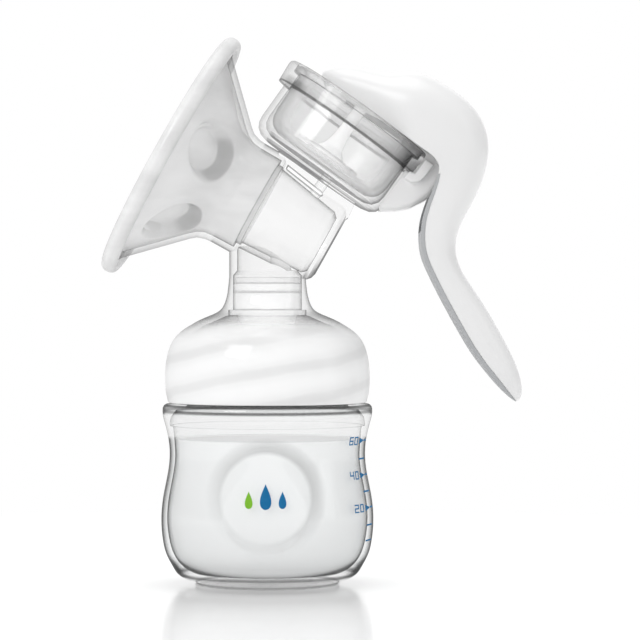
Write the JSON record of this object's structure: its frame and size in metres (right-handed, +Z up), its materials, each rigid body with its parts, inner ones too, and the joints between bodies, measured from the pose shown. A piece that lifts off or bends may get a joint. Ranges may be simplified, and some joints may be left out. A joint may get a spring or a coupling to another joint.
{
  "type": "breast pump",
  "caption": "Manual breast pump: clear funnel with soft petal cushion, diaphragm cup under a squeeze lever, and a threaded dome on a small waisted milk bottle.",
  "frame": {"origin": "on the floor, at the centre of the bottle's base ring", "axes": "+Z up along the bottle's axis; +X towards the squeeze lever, the funnel mouth faces -X; the pump head is symmetric about the XZ plane"},
  "size_m": [0.1332, 0.0842, 0.173],
  "materials": {
    "clear_plastic": "polished clear polypropylene, frosted inside the dome by the thread",
    "bottle_plastic": "polished translucent plastic",
    "soft_silicone": "translucent milky silicone, satin",
    "white_plastic": "semi-gloss white",
    "grey_elastomer": "matt light grey",
    "stem_plastic": "satin translucent white"
  },
  "bodies": {
    "bottle": {"bottle": "bottle_plastic"},
    "seal": {"bottle_seal": "soft_silicone"},
    "pump_head": {"pump_body": "clear_plastic", "valve": "soft_silicone", "diaphragm": "soft_silicone", "pivot_bracket": "white_plastic", "pivot_pin": "white_plastic"},
    "lever": {"lever_shell": "white_plastic", "lever_liner": "grey_elastomer", "stem_hook": "white_plastic"},
    "stem": {"diaphragm_stem": "stem_plastic"},
    "cushion": {"massage_cushion": "soft_silicone"}
  },
  "joints": [
    {"name": "screw_lift", "type": "slide", "parent": "bottle", "child": "seal", "axis": [0, 0, 1], "range_m": [0, 0.012]},
    {"name": "head_turn", "type": "hinge", "parent": "seal", "child": "pump_head", "pos_m": [0, 0, 0], "axis": [0, 0, 1], "range_deg": [0, 360]},
    {"name": "lever_squeeze", "type": "hinge", "parent": "pump_head", "child": "lever", "pos_m": [0.057, 0, 0.1351], "axis": [0, 1, 0], "range_deg": [0, 20], "stiffness_Nm_per_rad": 0.4},
    {"name": "stem_lift", "type": "slide", "parent": "pump_head", "child": "stem", "axis": [0.5821, 0, 0.8131], "range_m": [0, 0.0117], "deforming": ["diaphragm"]},
    {"name": "cushion_pull", "type": "slide", "parent": "pump_head", "child": "cushion", "axis": [-0.8729, 0, 0.4879], "range_m": [0, 0.045]}
  ],
  "couplings": [
    {"joint": "screw_lift", "follows": "head_turn", "m_per_rad": 0.0019099},
    {"joint": "stem_lift", "follows": "lever_squeeze", "m_per_rad": 0.0332}
  ]
}
